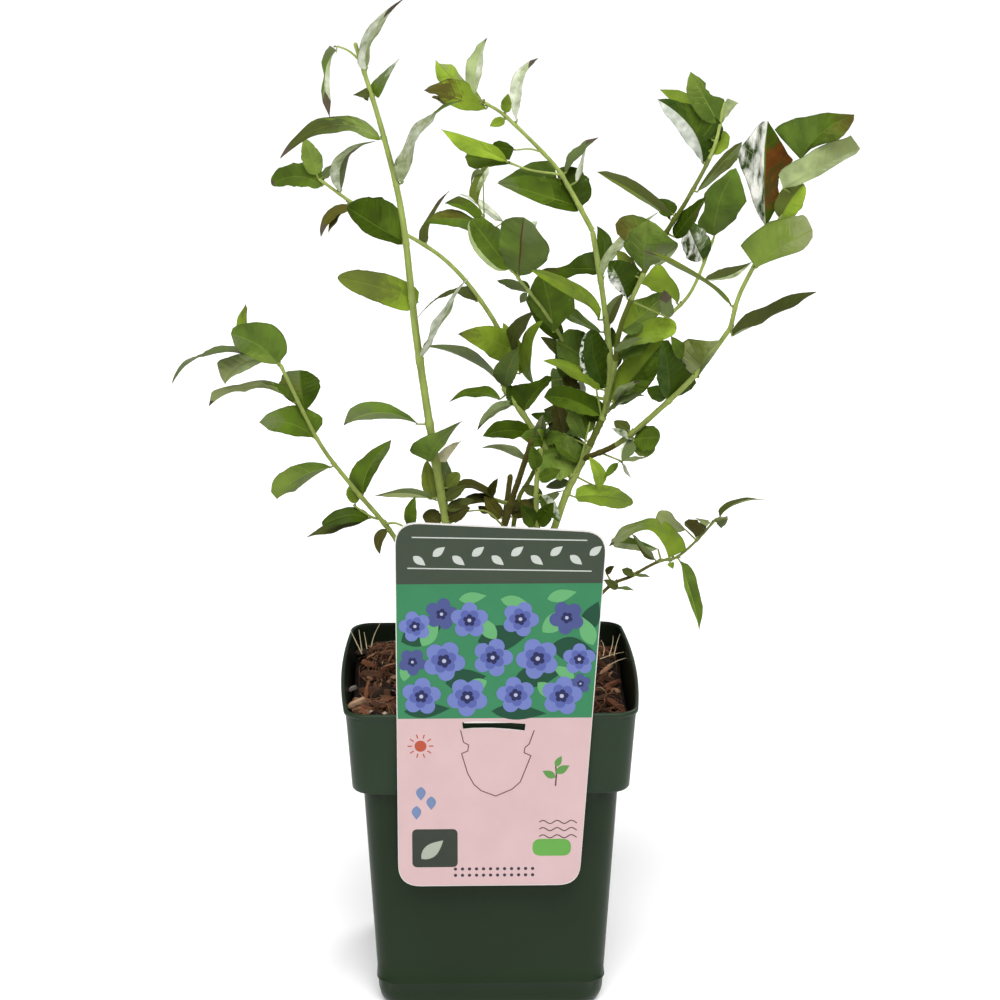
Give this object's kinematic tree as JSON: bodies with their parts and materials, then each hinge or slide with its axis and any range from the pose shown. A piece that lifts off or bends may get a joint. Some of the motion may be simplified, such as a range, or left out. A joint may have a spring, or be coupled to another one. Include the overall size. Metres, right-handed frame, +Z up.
{
  "type": "blueberry bush in a square nursery pot",
  "caption": "Young upright blueberry bush with slender branching stems and oval leaves, in a tapered square plastic nursery pot with a deep collar, bark soil and a hanging picture card.",
  "frame": {"origin": "centre of the pot's flat underside", "axes": "+Z up, +Y away from the side that carries the card, +X to the right seen from the card's side"},
  "size_m": [0.2936, 0.1501, 0.4523],
  "materials": {
    "pot_plastic": "dark green injection-moulded plastic with a satin sheen",
    "bark_soil": "loose bark chips and coir fibre, matt and damp",
    "card": "printed synthetic card, smooth with a low sheen",
    "green_stem": "smooth young green bark with faint buds",
    "brown_stem": "older brown bark, finely ridged",
    "leaves": "thin oval leaves, satin above and paler beneath, with fine veins"
  },
  "bodies": {
    "root": {"pot": "pot_plastic", "soil": "bark_soil", "tag": "card", "stem_tall_left": "green_stem", "stem_main": "green_stem", "bough_arch_low": "green_stem", "bough_arch_high": "green_stem", "stem_tall_mid": "green_stem", "bough_top_mid": "green_stem", "stem_old": "brown_stem", "stem_centre": "green_stem", "bough_mid_right": "green_stem", "bough_top_right": "green_stem", "bough_back_right": "green_stem", "bough_side_low": "green_stem", "bough_side_high": "green_stem", "shoot_low_left": "green_stem", "shoot_low_right": "green_stem", "shoot_green": "green_stem", "stem_cut": "brown_stem", "leaves_left_tip": "leaves", "leaves_left_wings": "leaves", "leaves_left_broad": "leaves", "leaves_left_mid": "leaves", "leaves_left_low": "leaves", "leaves_left_foot": "leaves", "leaves_arch_tip": "leaves", "leaves_arch_rise": "leaves", "leaves_bend_high": "leaves", "leaves_bend_low": "leaves", "leaves_fork": "leaves", "leaves_top": "leaves", "leaves_top_side": "leaves", "leaves_mid_fan": "leaves", "leaves_mid_cross": "leaves", "leaves_mid_low": "leaves", "leaves_centre_top": "leaves", "leaves_centre": "leaves", "leaves_round_right": "leaves", "leaves_mid_right": "leaves", "leaves_low_fold": "leaves", "leaves_far_tip": "leaves", "leaves_far_fold": "leaves", "leaves_far_low": "leaves", "leaves_back_right": "leaves", "leaves_side_spread": "leaves", "leaves_side_broad": "leaves", "leaves_side_tall": "leaves", "leaves_side_tip": "leaves", "leaves_side_low": "leaves", "leaves_side_rosette": "leaves", "leaves_low_right": "leaves", "leaves_low_right_foot": "leaves", "leaves_low_left_tip": "leaves", "leaves_low_left_top": "leaves", "leaves_low_left_mid": "leaves", "leaves_low_left_foot": "leaves", "leaves_heart_left": "leaves", "leaves_heart_right": "leaves", "leaves_heart": "leaves"}
  },
  "joints": []
}
